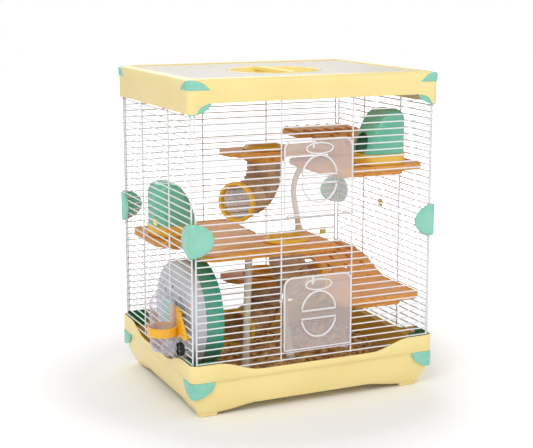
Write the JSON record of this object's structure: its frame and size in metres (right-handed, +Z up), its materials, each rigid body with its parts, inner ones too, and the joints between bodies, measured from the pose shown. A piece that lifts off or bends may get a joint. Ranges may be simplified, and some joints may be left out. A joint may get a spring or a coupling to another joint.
{
  "type": "hamster cage",
  "caption": "Tall two-storey wire hamster cage with plastic tray, windowed lid, corner clips, doors, shelves, houses, tubes, wheel and side-hung water bottle.",
  "frame": {"origin": "floor level, under the middle of the object's bounding box (the box takes in the bottle holder, so the cage itself sits 19 mm towards +X)", "axes": "+Z up, front with the doors towards -Y, water bottle on the -X side"},
  "size_m": [0.393, 0.282, 0.435],
  "materials": {
    "cream_plastic": "smooth opaque pale cream-yellow moulding",
    "teal_plastic": "pearly translucent blue-green moulding",
    "white_wire": "white coated steel wire",
    "clear_plastic": "clear to milky translucent moulding",
    "wood_brown_plastic": "orange-brown moulding with moulded and printed wood grain",
    "yellow_plastic": "golden yellow moulding",
    "tube_plastic": "translucent brown ribbed tube",
    "house_green": "translucent green hood",
    "frosted_plastic": "frosted pale pillar",
    "wheel_grey": "translucent grey wheel face",
    "wheel_green": "translucent green running drum",
    "bottle_clear": "clear bottle with a faint grey tint",
    "black_plastic": "black ribbed cap",
    "steel": "bright steel drinking spout",
    "bedding": "loose wood shavings"
  },
  "bodies": {
    "cage": {"base_tray": "cream_plastic", "bedding": "bedding", "corner_clip_middle_fl": "teal_plastic", "corner_clip_bottom_fl": "teal_plastic", "corner_clip_middle_fr": "teal_plastic", "corner_clip_bottom_fr": "teal_plastic", "corner_clip_middle_bl": "teal_plastic", "corner_clip_bottom_bl": "teal_plastic", "corner_clip_middle_br": "teal_plastic", "corner_clip_bottom_br": "teal_plastic", "left_house_base": "yellow_plastic", "right_house_base": "yellow_plastic", "panel_front_lower": "white_wire", "panel_back_lower": "white_wire", "panel_left_lower": "white_wire", "panel_right_lower": "white_wire", "panel_front_upper": "white_wire", "panel_back_upper": "white_wire", "panel_left_upper": "white_wire", "panel_right_upper": "white_wire", "left_shelf": "wood_brown_plastic", "right_shelf": "wood_brown_plastic", "lower_shelf": "wood_brown_plastic", "middle_deck": "wood_brown_plastic", "lower_dish_deck": "wood_brown_plastic", "upper_dish_deck": "wood_brown_plastic", "lower_ramp": "wood_brown_plastic", "upper_ramp": "wood_brown_plastic", "lower_tube": "tube_plastic", "lower_tube_collar": "yellow_plastic", "lower_tube_mouth": "yellow_plastic", "upper_tube": "tube_plastic", "upper_tube_collar": "yellow_plastic", "upper_tube_mouth": "yellow_plastic", "middle_tube": "tube_plastic", "middle_tube_collar": "yellow_plastic", "middle_tube_mouth": "yellow_plastic", "middle_leg": "frosted_plastic", "lower_leg": "frosted_plastic", "upper_leg": "frosted_plastic", "wheel_axle": "teal_plastic", "wheel_bracket": "teal_plastic"},
    "lid": {"lid_frame": "cream_plastic", "lid_window": "clear_plastic", "carrying_grip": "yellow_plastic", "corner_clip_top_fl": "teal_plastic", "corner_clip_top_fr": "teal_plastic", "corner_clip_top_bl": "teal_plastic", "corner_clip_top_br": "teal_plastic"},
    "upper_door": {"upper_door": "clear_plastic"},
    "lower_door": {"lower_door": "clear_plastic"},
    "wheel": {"wheel_disc": "wheel_grey", "wheel_drum": "wheel_green"},
    "left_hood": {"left_house_hood": "house_green"},
    "right_hood": {"right_house_hood": "house_green"},
    "bottle": {"bottle_body": "bottle_clear", "bottle_holder": "yellow_plastic"},
    "bottle_cap": {"bottle_cap": "black_plastic", "bottle_spout": "steel"}
  },
  "joints": [
    {"name": "upper_door_hinge", "type": "hinge", "parent": "cage", "child": "upper_door", "pos_m": [0.019, -0.1375, 0.25394], "axis": [1, 0, 0], "range_deg": [0, 145]},
    {"name": "lower_door_hinge", "type": "hinge", "parent": "cage", "child": "lower_door", "pos_m": [0.019, -0.1375, 0.07517], "axis": [1, 0, 0], "range_deg": [0, 120]},
    {"name": "wheel_spin", "type": "hinge", "parent": "cage", "child": "wheel", "pos_m": [-0.1385, -0.043, 0.116], "axis": [1, 0, 0], "continuous": true},
    {"name": "lid_lift", "type": "slide", "parent": "cage", "child": "lid", "axis": [0, 0, 1], "range_m": [0, 0.06]},
    {"name": "left_hood_lift", "type": "slide", "parent": "cage", "child": "left_hood", "axis": [0, 0, 1], "range_m": [0, 0.025]},
    {"name": "right_hood_lift", "type": "slide", "parent": "cage", "child": "right_hood", "axis": [0, 0, 1], "range_m": [0, 0.02]},
    {"name": "bottle_unhook", "type": "slide", "parent": "cage", "child": "bottle", "axis": [-1, 0, 0], "range_m": [0, 0.03]},
    {"name": "cap_turn", "type": "hinge", "parent": "bottle", "child": "bottle_cap", "pos_m": [-0.1585, -0.105, 0.08862], "axis": [1, 0, 0], "continuous": true}
  ]
}
